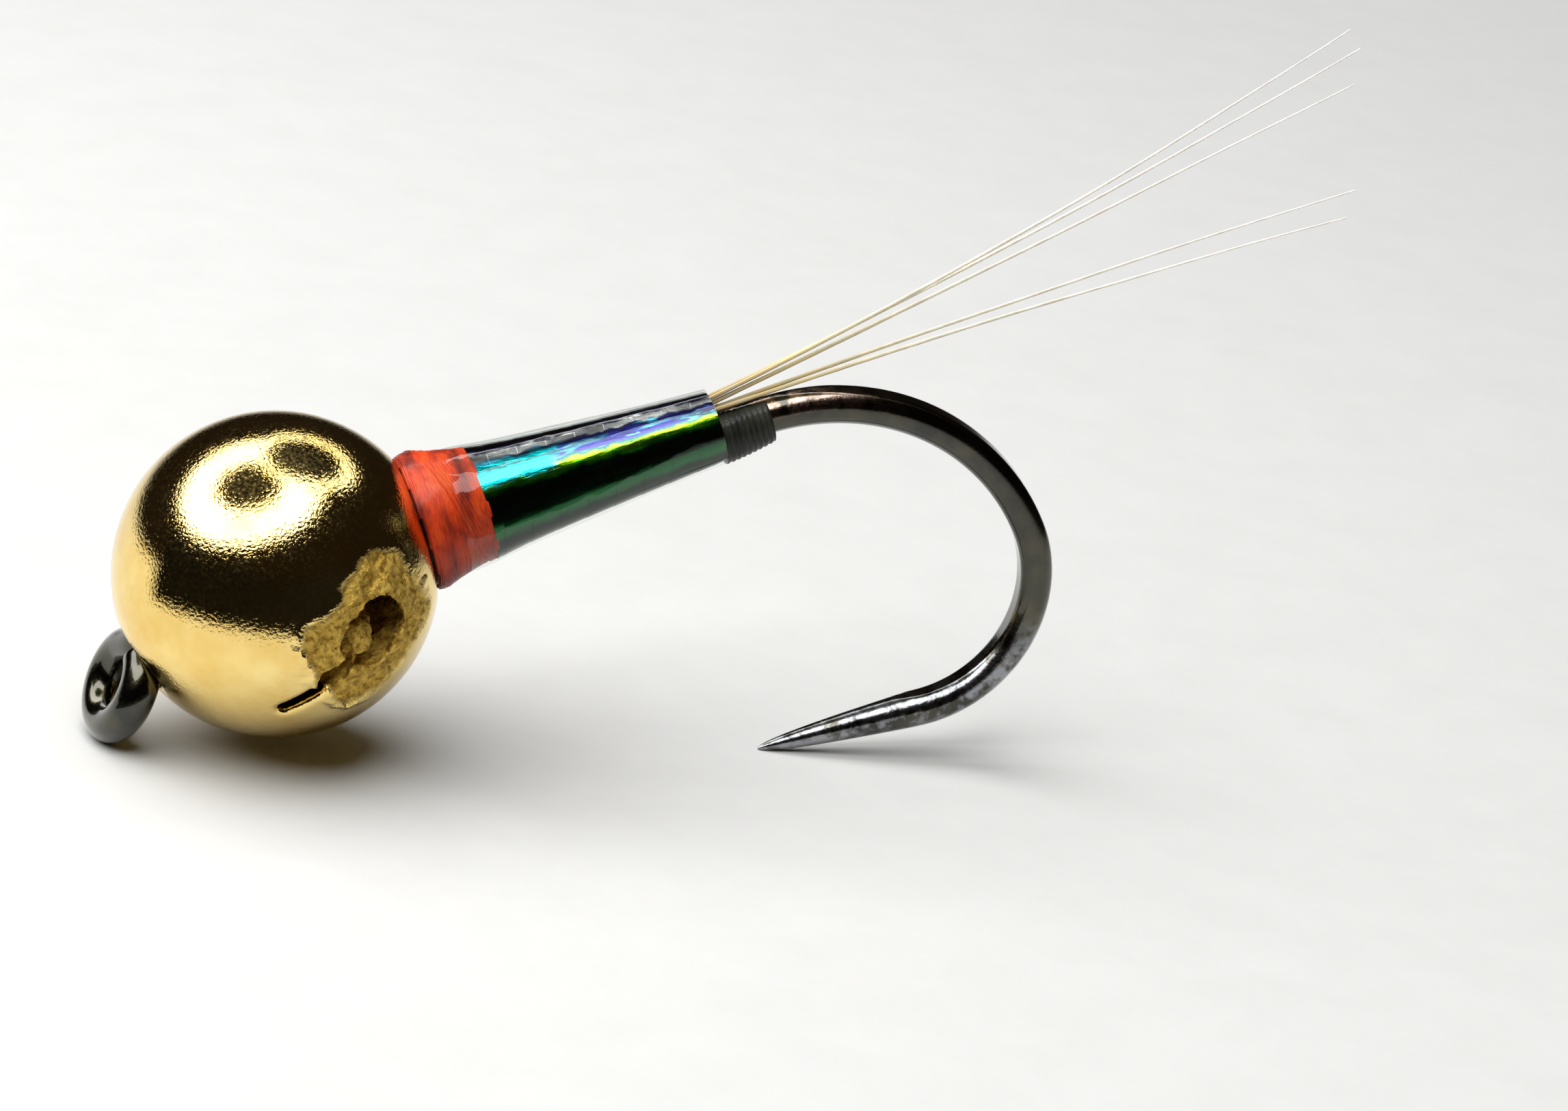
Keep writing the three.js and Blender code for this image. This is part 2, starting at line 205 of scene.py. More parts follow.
# ---- Material helpers ----
class Shader:
    """A node material with one Principled shader and short ways to add nodes to it."""

    def __init__(self, name, **settings):
        self.material = bpy.data.materials.new(name)
        self.material.use_nodes = True
        self.tree = self.material.node_tree
        self.surface = self.tree.nodes["Principled BSDF"]
        for key, value in settings.items():
            self.set(key.replace("_", " ").title().replace("Ior", "IOR"), value)

    def feed(self, target, value):
        """Gives a socket a value, or links another node's socket to it."""
        if isinstance(value, bpy.types.NodeSocket):
            self.tree.links.new(value, target)
        else:
            target.default_value = value

    def set(self, socket, value):
        self.feed(self.surface.inputs[socket], value)

    def add(self, kind, inputs=(), **properties):
        """Adds a node. Each of inputs is (socket name or number, value or another socket)."""
        node = self.tree.nodes.new("ShaderNode" + kind)
        for key, value in properties.items():
            setattr(node, key, value)
        for socket, value in inputs:
            self.feed(node.inputs[socket], value)
        return node

    def math(self, operation, first, second):
        return self.add("Math", [(0, first), (1, second)], operation=operation).outputs[0]

    def fly_axes(self, centre=(0, 0, 0), stretch=(1, 1, 1)):
        """Object coordinates in the fly's axes, in millimetres from centre."""
        place = self.add("TexCoord").outputs["Object"]
        turned = self.add(
            "Mapping",
            [("Vector", place), ("Rotation", (0, REST_PITCH, 0)), ("Scale", (1000,) * 3)],
        ).outputs[0]
        offset = [-c for c in centre]
        moved = self.add("Mapping", [("Vector", turned), ("Location", offset)]).outputs[0]
        if stretch == (1, 1, 1):
            return moved
        return self.add("Mapping", [("Vector", moved), ("Scale", stretch)]).outputs[0]

    def noise(self, place, scale, detail=3.0, roughness=0.6):
        inputs = [("Vector", place), ("Scale", scale), ("Detail", detail)]
        inputs.append(("Roughness", roughness))
        return self.add("TexNoise", inputs).outputs["Fac"]

    def ramp(self, value, stops):
        """A colour ramp of (position, colour) stops."""
        node = self.add("ValToRGB", [("Fac", value)])
        ramp = node.color_ramp
        while len(ramp.elements) < len(stops):
            ramp.elements.new(1.0)
        for element, (position, colour) in zip(ramp.elements, stops):
            element.position = position
            element.color = (*colour, 1.0)
        return node.outputs["Color"]

    def spread(self, value, low, high, new_low, new_high):
        """The value moved from one range to another, and held inside the new one."""
        inputs = [("Value", value), ("From Min", low), ("From Max", high)]
        inputs += [("To Min", new_low), ("To Max", new_high)]
        return self.add("MapRange", inputs).outputs["Result"]

    def mix(self, share, first, second):
        """The first colour, turned into the second by share. Each may be a socket."""
        node = self.add("Mix", data_type="RGBA")
        self.feed(node.inputs[0], share)
        for socket, colour in ((6, first), (7, second)):
            self.feed(node.inputs[socket], (*colour, 1.0) if isinstance(colour, tuple) else colour)
        return node.outputs[2]

    def bump(self, height, depth_mm, strength=1.0):
        inputs = [("Height", height), ("Distance", depth_mm * 0.001), ("Strength", strength)]
        self.set("Normal", self.add("Bump", inputs).outputs["Normal"])


def hook_material():
    """Polished black nickel with a fine grain, olive in places. It has painted highlights:
    warm patches outside the top of the bend and silvery ones low down."""
    shader = Shader("black_nickel", metallic=1.0, coat_weight=1.0, coat_roughness=0.04)
    place = shader.fly_axes()
    cloud = shader.noise(place, 1.4)
    grain = shader.noise(place, 26.0, 4.0)
    colour = shader.ramp(cloud, [(0.35, (0.020, 0.020, 0.015)), (0.7, (0.070, 0.064, 0.036))])
    x, _, z = shader.add("SeparateXYZ", [(0, place)]).outputs
    highlight_patches = shader.spread(shader.noise(place, 3.5, 4.0), 0.42, 0.56, 0.0, 1.0)
    # painted highlight: warm patches outside the top of the bend
    past = shader.math("MAXIMUM", shader.math("SUBTRACT", x, BEND_START), 0.0)
    over = shader.math("ADD", z, UPPER_BEND[0] - SHANK_HEIGHT)
    from_middle = shader.add("CombineXYZ", [(0, past), (2, over)]).outputs[0]
    reach = shader.add("VectorMath", [(0, from_middle)], operation="LENGTH").outputs["Value"]
    outer = shader.spread(reach, UPPER_BEND[0], UPPER_BEND[0] + 0.12, 0.0, 0.85)
    upper = shader.math("MULTIPLY", outer, shader.spread(x, 12.0, 10.6, 0.0, 1.0))
    colour = shader.mix(shader.math("MULTIPLY", highlight_patches, upper), colour, (0.46, 0.32, 0.25))
    # painted highlight: silvery patches low down, on the lower bend and spear
    lower = shader.spread(z, -3.4, -4.1, 0.0, 0.8)
    colour = shader.mix(shader.math("MULTIPLY", highlight_patches, lower), colour, (0.34, 0.35, 0.38))
    shader.set("Base Color", colour)
    shader.set("Roughness", shader.spread(grain, 0.3, 0.7, 0.1, 0.24))
    shader.bump(grain, 0.006, 0.5)
    return shader.material


def bead_material():
    """Bright gold plate, finely pebbled all over, matt and cast-looking round the slot."""
    shader = Shader("gold_plate", metallic=1.0)
    place = shader.fly_axes(BEAD_CENTRE)
    rim = shader.add("Attribute", attribute_name="slot_rim").outputs["Fac"]
    cloud = shader.noise(place, 1.3)
    pebble = shader.noise(place, 22.0, 2.0, 0.5)
    grain = shader.noise(place, 9.0, 5.0, 0.7)
    plate = shader.ramp(cloud, [(0.3, (0.78, 0.53, 0.15)), (0.7, (0.90, 0.70, 0.28))])
    cast = shader.ramp(grain, [(0.36, (0.34, 0.18, 0.02)), (0.6, (0.86, 0.60, 0.13))])
    shader.set("Base Color", shader.mix(rim, plate, cast))
    polish = shader.spread(pebble, 0.35, 0.7, 0.04, 0.16)
    worn = shader.spread(grain, 0.3, 0.7, 0.22, 0.5)
    rough = shader.math("ADD", polish, shader.math("MULTIPLY", rim, worn))
    shader.set("Roughness", rough)
    smooth_relief = shader.math("MULTIPLY", pebble, shader.spread(rim, 0.0, 1.0, 0.32, 0.5))
    cast_relief = shader.math("MULTIPLY", grain, shader.spread(rim, 0.0, 1.0, 0.0, 4.0))
    shader.bump(shader.math("ADD", smooth_relief, cast_relief), 0.016, 1.0)
    return shader.material


def thread_material(name, light, deep, wear, under_shade):
    """Tying thread: fine fibres along each strand, with painted shade in the hollows and
    underneath.
    """
    shader = Shader(name, coat_weight=0.2, coat_roughness=0.12, specular_ior_level=0.25)
    cloud = shader.noise(shader.fly_axes(stretch=(3.0, 1.0, 1.0)), 1.1)
    fibre = shader.noise(shader.fly_axes(stretch=(9.0, 1.0, 1.0)), 9.0, 4.0)
    shade = shader.ramp(cloud, [(0.35, deep), (0.55, light), (0.8, wear)])
    height = shader.add("SeparateXYZ", [(0, shader.fly_axes(BODY_AXIS))]).outputs[2]
    # painted shade: darker towards the underside of the body
    shade_below = shader.spread(height, -0.1, -0.85, 0.0, under_shade)
    # painted shade in the hollows between fibres, where the bump is low
    hollow = shader.spread(fibre, 0.35, 0.6, 0.5, 0.0)
    shader.set("Base Color", shader.mix(shader.math("MAXIMUM", shade_below, hollow), shade, deep))
    shader.set("Roughness", shader.spread(fibre, 0.3, 0.7, 0.35, 0.65))
    shader.bump(fibre, 0.012, 0.7)
    return shader.material


def tinsel_material():
    """Iridescent film. Its colour turns with the angle down each side of the body: navy on
    top, then a painted white highlight, violet, green and black, with a cyan patch near the
    collar."""
    shader = Shader("iridescent_film", metallic=1.0, coat_weight=0.3, coat_roughness=0.03)
    x, y, z = shader.add("SeparateXYZ", [(0, shader.fly_axes(BODY_AXIS))]).outputs
    angle = shader.math("ARCTAN2", z, shader.math("ABSOLUTE", y, 0.0))
    degrees = shader.math("MULTIPLY", angle, 180 / math.pi)
    ragged = shader.noise(shader.fly_axes(BODY_AXIS, (1.0, 0.6, 0.6)), 3.2, 3.0)
    edge = shader.math("MULTIPLY", shader.math("SUBTRACT", ragged, 0.5), 22.0)
    turned = shader.math("ADD", degrees, edge)
    lowest, highest = -90.0, 110.0
    share = shader.spread(turned, lowest, highest, 0.0, 1.0)

    def at(band_angle):
        return (band_angle - lowest) / (highest - lowest)

    bands = [
        (at(-90), (0.006, 0.012, 0.006)),
        (at(-26), (0.007, 0.018, 0.009)),
        (at(-14), (0.014, 0.115, 0.034)),
        (at(6), (0.010, 0.060, 0.020)),
        (at(13), (0.006, 0.018, 0.008)),
        (at(27), (0.012, 0.070, 0.015)),
        (at(32), (0.050, 0.800, 0.030)),
        (at(40), (0.450, 0.950, 0.010)),
        (at(45), (0.010, 0.120, 0.060)),
        (at(50), (0.050, 0.030, 0.360)),
        (at(57), (0.040, 0.090, 0.750)),
        (at(63), (0.030, 0.024, 0.220)),
        (at(67), (0.030, 0.030, 0.120)),
        # painted highlight: a white band from 70 to 77 degrees
        (at(70), (0.900, 0.920, 0.950)),
        (at(77), (0.900, 0.900, 0.920)),
        (at(81), (0.012, 0.016, 0.055)),
    ]
    film = shader.ramp(share, bands)
    glint = shader.noise(shader.fly_axes(BODY_AXIS, (0.45, 3.0, 3.0)), 2.6, 2.0)
    sky = shader.ramp(glint, [(0.52, (0, 0, 0)), (0.58, (1, 1, 1))])
    above_green = shader.spread(turned, 46.0, 50.0, 0.0, 1.0)
    below_white = shader.spread(turned, 70.0, 66.0, 0.0, 1.0)
    blue_zone = shader.math("MULTIPLY", above_green, below_white)
    film = shader.mix(shader.math("MULTIPLY", sky, blue_zone), film, (0.12, 0.62, 0.95))
    patch_foot = shader.spread(turned, 34.0, 38.0, 0.0, 1.0)
    patch_head = shader.spread(turned, 66.0, 60.0, 0.0, 1.0)
    patch_angle = shader.math("MULTIPLY", patch_foot, patch_head)
    patch_end = shader.math("ADD", x, shader.math("MULTIPLY", edge, 0.05))
    patch_length = shader.spread(patch_end, 4.25, 4.05, 0.0, 1.0)
    patch = shader.math("MULTIPLY", patch_angle, patch_length)
    film = shader.mix(patch, film, (0.0, 0.86, 0.92))
    shader.set("Base Color", film)
    crease = shader.noise(shader.fly_axes(BODY_AXIS, (0.5, 3.0, 3.0)), 3.0, 3.0)
    shader.set("Roughness", shader.spread(crease, 0.3, 0.7, 0.10, 0.28))
    shader.bump(crease, 0.02, 0.5)
    return shader.material


def resin_material():
    """Clear cured resin seen as a thin coat: it shines at its surface and hides nothing."""
    shader = Shader("clear_resin")
    tree = shader.tree
    place = shader.fly_axes(stretch=(0.6, 1.0, 1.0))
    wave = shader.add("Bump", [("Height", shader.noise(place, 2.2, 2.0)), ("Distance", 0.00002)])
    normal = wave.outputs["Normal"]
    shine = shader.add("BsdfGlossy", [("Roughness", 0.04), ("Normal", normal)])
    clear = shader.add("BsdfTransparent", [("Color", (0.97, 0.99, 0.97, 1.0))])
    edge = shader.add("Fresnel", [("IOR", 1.48), ("Normal", normal)]).outputs[0]
    behind = shader.add("NewGeometry").outputs["Backfacing"]
    edge = shader.math("MULTIPLY", edge, shader.math("SUBTRACT", 1.0, behind))
    coat = shader.add("MixShader", [(0, edge)])
    tree.links.new(clear.outputs[0], coat.inputs[1])
    tree.links.new(shine.outputs[0], coat.inputs[2])
    tree.nodes.remove(shader.surface)
    tree.links.new(coat.outputs[0], tree.nodes["Material Output"].inputs["Surface"])
    return shader.material


def fibre_material():
    """Feather fibre: golden tan near the butts, pale straw beyond, with faint grey bars."""
    shader = Shader("straw_fibre", roughness=0.4, subsurface_weight=0.2)
    shader.set("Subsurface Scale", 0.00005)
    place = shader.fly_axes()
    x = shader.add("SeparateXYZ", [(0, place)]).outputs[0]
    along = shader.spread(x, 9.0, 18.5, 0.0, 1.0)
    tone = shader.ramp(
        along,
        [
            (0.0, (0.34, 0.24, 0.09)),
            (0.15, (0.55, 0.45, 0.22)),
            (0.4, (0.78, 0.75, 0.60)),
            (1.0, (0.86, 0.86, 0.80)),
        ],
    )
    speck = shader.noise(shader.fly_axes(stretch=(1.6, 1.0, 1.0)), 1.6, 3.0)
    bars = shader.spread(speck, 0.36, 0.6, 0.5, 0.0)
    shader.set("Base Color", shader.mix(bars, tone, (0.40, 0.37, 0.28)))
    shader.set("Roughness", shader.spread(speck, 0.3, 0.7, 0.3, 0.5))
    shader.bump(shader.noise(place, 30.0), 0.004, 0.5)
    return shader.material


# ---- Hook ----
RING_TURN = (340, 50)  # degrees round the eye, from the wire's cut end to where it leaves
NECK_START = 0.789  # from the eye's centre to where the wire has become the straight neck
NECK_EASE = 0.5  # how gently it turns from the ring to the neck
NEEDLE_TIP_RADIUS = 0.012
CUT_ROUNDING = 0.05  # the length over which the cut end is rounded
CUT_RADIUS_SHARE = 0.86  # what rounding leaves of the radius at the very end
FORGED_START = 9.9  # the station where the pressed flats begin
FORGED_RAMP = 1.2  # the length over which they deepen
FORGED_SPREAD = 0.05  # how much wider the pressed wire gets, as a share of its radius


def plane_arc(centre_x, centre_z, radius, start, end, steps):
    angles = np.linspace(start, end, steps + 1)
    x = centre_x + radius * np.cos(angles)
    z = centre_z + radius * np.sin(angles)
    return np.stack([x, np.zeros_like(x), z], axis=-1)


def straight(start, end, steps):
    share = np.linspace(0, 1, steps + 1)[:, None]
    return np.asarray(start) * (1 - share) + np.asarray(end) * share


def eye_axes():
    """The eye's own axes: towards the neck, along the ring, and through its hole."""
    neck = np.array([math.cos(JIG_ANGLE), 0, math.sin(JIG_ANGLE)])
    through = np.array([-math.sin(JIG_ANGLE), 0, math.cos(JIG_ANGLE)])
    along = np.array([0.0, 1.0, 0.0])
    turned = math.cos(EYE_TWIST) * along + math.sin(EYE_TWIST) * through
    return neck, turned, np.cross(neck, turned)


def eye_path():
    """The wire's centre line from its cut end, once round the ring and into the neck."""
    neck, along, _ = eye_axes()
    angles = np.radians(np.linspace(*RING_TURN, 60))
    ring = EYE_RADIUS * (np.outer(np.cos(angles), neck) + np.outer(np.sin(angles), along))
    start, end = ring[-1], NECK_START * neck
    leave = NECK_EASE * (math.sin(angles[-1]) * neck - math.cos(angles[-1]) * along)
    arrive = NECK_EASE * neck
    t = np.linspace(0, 1, 13)[1:, None]
    blend = (
        (2 * t**3 - 3 * t**2 + 1) * start
        + (t**3 - 2 * t**2 + t) * leave
        + (3 * t**2 - 2 * t**3) * end
        + (t**3 - t**2) * arrive
    )
    return np.concatenate([ring, blend])


def hook_path():
    """The wire's centre line from the cut end at the eye to the needle point."""
    vertex_x = SHANK_HEIGHT / math.tan(JIG_ANGLE)
    shank_x = vertex_x + JIG_BEND_RADIUS * math.tan(JIG_ANGLE / 2)
    top = math.pi / 2
    upper_radius, upper_sweep = UPPER_BEND
    lower_radius, lower_sweep = LOWER_BEND
    upper_end, lower_end = top - upper_sweep, top - upper_sweep - lower_sweep
    upper_z = SHANK_HEIGHT - upper_radius
    shift = upper_radius - lower_radius
    lower_x = BEND_START + shift * math.cos(upper_end)
    lower_z = upper_z + shift * math.sin(upper_end)
    jig_z = SHANK_HEIGHT - JIG_BEND_RADIUS
    jig = plane_arc(shank_x, jig_z, JIG_BEND_RADIUS, top + JIG_ANGLE, top, 14)
    shank = straight(jig[-1], (BEND_START, 0, SHANK_HEIGHT), 60)
    upper = plane_arc(BEND_START, upper_z, upper_radius, top, upper_end, 70)
    lower = plane_arc(lower_x, lower_z, lower_radius, upper_end, lower_end, 60)
    spear_way = np.array([math.sin(lower_end), 0, -math.cos(lower_end)])
    spear = straight(lower[-1], lower[-1] + SPEAR_LENGTH * spear_way, 50)
    return np.concatenate([eye_path(), jig[1:], shank[1:], upper[1:], lower[1:], spear[1:]])


def hook_rings():
    """The wire's skin: round, pressed flat round the bend and thinned to the needle point."""
    path = hook_path()
    steps = np.linalg.norm(np.diff(path, axis=0), axis=1)
    run = np.concatenate([[0], np.cumsum(steps)])
    left = run[-1] - run
    taper = np.sqrt(np.clip(left / NEEDLE_LENGTH, 0, 1))
    radii = np.maximum(NEEDLE_TIP_RADIUS, WIRE_RADIUS * taper)
    cut = np.clip(run / CUT_ROUNDING, 0, 1)
    radii = radii * (CUT_RADIUS_SHARE + (1 - CUT_RADIUS_SHARE) * np.sqrt(cut))
    forged = np.clip((path[:, 0] - FORGED_START) / FORGED_RAMP, 0, 1)
    limit = WIRE_RADIUS + (FORGED_HALF_THICKNESS - WIRE_RADIUS) * forged

    def press(i, out, over):
        flat = np.clip(over, -limit[i], limit[i])
        return out * (1 + FORGED_SPREAD * forged[i]), flat

    way = unit(path[1] - path[0])
    outwards = unit(path[0]) - way * np.dot(unit(path[0]), way)
    return swept(path, radii, 40, outwards, press)


# ---- Bead ----
def length(vectors):
    return np.sqrt((vectors**2).sum(axis=-1))


def to_segment(p, start, end):
    """The distance from each point to a straight segment."""
    way = end - start
    share = np.clip((p - start) @ way / (way @ way), 0, 1)
    return length(p - start - share[..., None] * way)


SLOT_ROLL = math.radians(20)
SLOT_OUT = np.array([0, -math.cos(SLOT_ROLL), -math.sin(SLOT_ROLL)])
SLOT_ACROSS = np.array([0, -math.sin(SLOT_ROLL), math.cos(SLOT_ROLL)])
SLOT_SLANT = math.radians(24)
SLOT_MIDDLE_X = 0.215
SLOT_WIDE = (0.3, 1.18)  # the window's front and rear, along the slot
SLOT_HALF_WIDTH = 0.42
SLOT_NECK = (-0.85, 0.3)
SLOT_NECK_HALF_WIDTH = 0.08
RIM = {"front": -0.2, "rear": 1.64, "half_width": 0.88, "corner": 0.55, "sunk": 0.06}
TONGUE = {"along": 0.5, "sideways": 0.04, "depth": 1.55, "radius": 0.32, "stretch": 0.5}
BORE_FRONT = -1.5
MOUTH_RADIUS = 0.98  # the countersunk rear mouth, where it meets the ball
MOUTH_LENGTH = 0.9
MOUTH_FRONT = 1.0
WIRE_CLEARANCE_RADIUS = 0.31
NECK_EXTRA = 0.03
CAVITY_EDGE = 0.12


def slot_plane(p):
    """Distances along the slot and across it, and how far out of the bead's middle."""
    local = p - BEAD_CENTRE
    x = local[..., 0] - SLOT_MIDDLE_X
    across = local @ SLOT_ACROSS
    along = x * math.cos(SLOT_SLANT) + across * math.sin(SLOT_SLANT)
    sideways = across * math.cos(SLOT_SLANT) - x * math.sin(SLOT_SLANT)
    return along, sideways, local @ SLOT_OUT


def rounded_box(x, y, front, rear, half_width, corner):
    """The distance outside a rectangle with rounded corners."""
    middle = (front + rear) / 2
    dx = np.abs(x - middle) - (rear - middle) + corner
    dy = np.abs(y) - half_width + corner
    outside = np.hypot(np.maximum(dx, 0), np.maximum(dy, 0))
    return outside + np.minimum(np.maximum(dx, dy), 0) - corner


def slot_cavity(p):
    """The keyhole slot, with a tongue of metal left standing in its window."""
    along, sideways, depth = slot_plane(p)
    corner = 0.8 * SLOT_HALF_WIDTH
    wide = rounded_box(along, sideways, *SLOT_WIDE, SLOT_HALF_WIDTH, corner)
    run = np.clip(along, *SLOT_NECK)
    narrow = np.hypot(along - run, sideways) - SLOT_NECK_HALF_WIDTH
    hole = np.maximum(np.minimum(wide, narrow), -depth)
    lengthwise = (along - TONGUE["along"]) ** 2 + (sideways - TONGUE["sideways"]) ** 2
    tongue = np.sqrt(lengthwise + (TONGUE["stretch"] * (depth - TONGUE["depth"])) ** 2)
    return np.maximum(hole, TONGUE["radius"] - tongue)


def bore_cavity(p):
    """The bore and the cone of the rear mouth."""
    local = p - BEAD_CENTRE
    radial = np.hypot(local[..., 1], local[..., 2])
    bore = np.maximum(radial - BORE_RADIUS, BORE_FRONT - local[..., 0])
    mouth_x = math.sqrt(BEAD_RADIUS**2 - MOUTH_RADIUS**2)
    slope = (MOUTH_RADIUS - BORE_RADIUS) / MOUTH_LENGTH
    cone = (radial - MOUTH_RADIUS - slope * (local[..., 0] - mouth_x)) / math.hypot(1, slope)
    return np.minimum(bore, np.maximum(cone, MOUTH_FRONT - local[..., 0]))


def wire_cavity(p):
    """Room for the ring's base and the neck where they enter the bead."""
    neck, along, through = eye_axes()
    ring = np.hypot(length(np.stack([p @ neck, p @ along], axis=-1)) - EYE_RADIUS, p @ through)
    corner = np.array([SHANK_HEIGHT / math.tan(JIG_ANGLE), 0, SHANK_HEIGHT])
    entry = np.minimum(
        to_segment(p, EYE_RADIUS * neck, corner), to_segment(p, corner, BEAD_CENTRE)
    )
    return np.minimum(ring, entry - NECK_EXTRA) - WIRE_CLEARANCE_RADIUS


def bead_field(p):
    """Negative inside the bead. The cavities' edges are rounded over."""
    ball = length(p - BEAD_CENTRE) - BEAD_RADIUS
    hollow = np.minimum(np.minimum(slot_cavity(p), bore_cavity(p)), wire_cavity(p))
    blend = np.clip(0.5 + 0.5 * (ball + hollow) / CAVITY_EDGE, 0, 1)
    return ball * blend - hollow * (1 - blend) + CAVITY_EDGE * blend * (1 - blend)


def surface_net(field, low, high, cell):
    """(points, faces) of the surface where field is zero: one point in each grid cell that the
    surface crosses, pulled onto the surface along the field's slope."""
    axes = [np.arange(a, b + cell, cell) for a, b in zip(low, high)]
    inside = field(np.stack(np.meshgrid(*axes, indexing="ij"), axis=-1)) < 0
    cells = [n - 1 for n in inside.shape]
    corners = sum(
        inside[i : i + cells[0], j : j + cells[1], k : k + cells[2]].astype(int)
        for i in (0, 1)
        for j in (0, 1)
        for k in (0, 1)
    )
    crossed = (corners > 0) & (corners < 8)
    number = np.full(cells, -1)
    number[crossed] = np.arange(crossed.sum())
    points = np.array(low) + (np.argwhere(crossed) + 0.5) * cell
    for _ in range(4):
        points = points - pull(field, points, cell * 0.02)
    faces = []
    for axis in range(3):
        first, second = np.eye(3, dtype=int)[[(axis + 1) % 3, (axis + 2) % 3]]
        below = np.take(inside, range(cells[axis]), axis=axis)
        above = np.take(inside, range(1, cells[axis] + 1), axis=axis)
        edges = np.argwhere(below != above)
        leaving = below[below != above]
        around = [edges - first - second, edges - second, edges, edges - first]
        quads = np.stack([number[tuple(c.T)] for c in around], axis=-1)
        quads[~leaving] = quads[~leaving][:, ::-1]
        faces.extend(map(tuple, quads.tolist()))
    return points, faces


def slope_of(field, points, reach):
    """The field's slope at each point, from its values this far to each side."""
    steps = np.eye(3) * reach
    return np.stack(
        [(field(points + s) - field(points - s)) / (2 * reach) for s in steps], axis=-1
    )


def pull(field, points, reach):
    """The move that takes each point to where the field is zero."""
    slope = slope_of(field, points, reach)
    steep = np.maximum((slope**2).sum(axis=-1), 0.05)
    return field(points)[:, None] * slope / steep[:, None]


def bead_parts():
    """The bead's skin, sunk and lumpy round the slot, and how much each point is rim."""
    cell = 0.042
    rim_edge, lump_height, lip_height, lip_width = 0.09, 0.055, 0.045, 0.07
    low = BEAD_CENTRE - BEAD_RADIUS - 2 * cell
    high = BEAD_CENTRE + BEAD_RADIUS + 2 * cell
    points, faces = surface_net(bead_field, low, high, cell)
    outward = slope_of(bead_field, points, 0.002)
    outward /= np.maximum(length(outward)[:, None], 1e-6)
    along, sideways, depth = slot_plane(points)
    open_side = np.clip((depth - 0.3) / 0.5, 0, 1)
    ragged = np.array([noise.fractal(Vector(p * 2.4), 0.8, 2.0, 4) for p in points]) * 0.12
    outline = (RIM["front"], RIM["rear"], RIM["half_width"], RIM["corner"])
    away = rounded_box(along, sideways, *outline) + ragged
    rim = open_side * np.clip(0.5 - away / rim_edge, 0, 1)
    lumps = np.array([noise.fractal(Vector(p * 4.5), 0.7, 2.0, 5) for p in points])
    front_edge = np.clip(1.0 - (along - RIM["front"]) / 0.4, 0, 1)
    lip = np.exp(-(((away - 0.05) / lip_width) ** 2)) * open_side * front_edge
    height = rim * (lump_height * lumps - RIM["sunk"]) + lip * lip_height
    return points + outward * height[:, None], faces, rim


# ---- Body ----
REAR_RADIUS = 0.55
BODY_TAPER = 0.07
FLARE = {"height": 0.3, "start": 2.05, "length": 0.7}
DIP = {"depth": 0.12, "start": 2.08, "length": 0.22}
STRAND_SIDES = 6
STRAND_GAP = 0.035
RESIN_SIDES = 64


def body_radius(x):
    """The finished body's radius: a taper that flares towards the bead."""
    flare = FLARE["height"] * np.exp(-(x - FLARE["start"]) / FLARE["length"])
    return REAR_RADIUS + BODY_TAPER * (BODY_END - x) + flare


def front_dip(x):
    """How far the windings sink where they meet the bead."""
    return DIP["depth"] * np.clip(1 - (x - DIP["start"]) / DIP["length"], 0, 1) ** 2


def underbody_rings():
    """Dark thread in close turns: it fills the bead's mouth and shapes the body."""
    pitch, step = 0.07, 0.014
    front, mouth = 1.15, 2.0

    def radius(x, angles):
        wound = np.abs(np.sin(math.pi * x / pitch - angles / 2))
        inner = 0.52 + (x - front) / (mouth - front) * 0.38
        core = inner if x < mouth else body_radius(x) - 0.15 - 1.1 * front_dip(x)
        return core + 0.018 * wound

    stations = np.append(np.arange(front, BODY_END - step, step), BODY_END - 0.002)
    return lathe(stations, radius, 56)


def strand(x, angles, radius, thickness):
    """One fibre of thread laid round the body."""
    path = round_body(x, angles, radius)
    return skin(swept(path, np.full(len(path), thickness), STRAND_SIDES, (1, 0.01, 0)))


def against_bead(angles, radius, gap):
    """The station at which a body point at this angle and radius meets the bead's ball."""
    lift = BODY_AXIS[2] - BEAD_CENTRE[2]
    reach = radius**2 + 2 * radius * lift * np.sin(angles) + lift**2
    return np.sqrt(BEAD_RADIUS**2 - reach) + gap


def collar_parts():
    """Flat multi-fibre thread: close turns behind the bead, then one slanting turn over them."""
    fibres = 13
    parts = []
    rear, turns = 3.02, 3
    for i in range(fibres):
        t = np.linspace(0, 1, turns * 60)
        angles = 2 * math.pi * (turns * t + i / fibres)
        front = against_bead(angles, 0.98, STRAND_GAP)
        x = front + (rear - front) * t + 0.012 * np.sin(5 * angles + i) * np.minimum(1, 4 * t)
        wander = np.array([0.008 * wavy(a * 1.3, i) for a in angles])
        radius = body_radius(x) - 0.105 - front_dip(x) + wander
        parts.append(strand(x, angles, radius, 0.036))
    for i in range(fibres + 3):
        t = np.linspace(0, 1, 70)
        angles = math.radians(165) - math.radians(250) * t
        lead = 2.08 + 0.95 * t + 0.045 * i
        x = rear - 0.03 - np.log1p(np.exp((rear - 0.06 - lead) / 0.05)) * 0.05 + 0.004 * i
        x = np.maximum(x, against_bead(angles, 1.0, STRAND_GAP))
        lift = 0.028 * np.sin(math.pi * t) ** 0.5
        wander = np.array([0.01 * wavy(a * 2.0, i + 40) for a in angles])
        radius = body_radius(x) - 0.095 - front_dip(x) + lift + wander
        parts.append(strand(x, angles, radius, 0.03))
    return parts


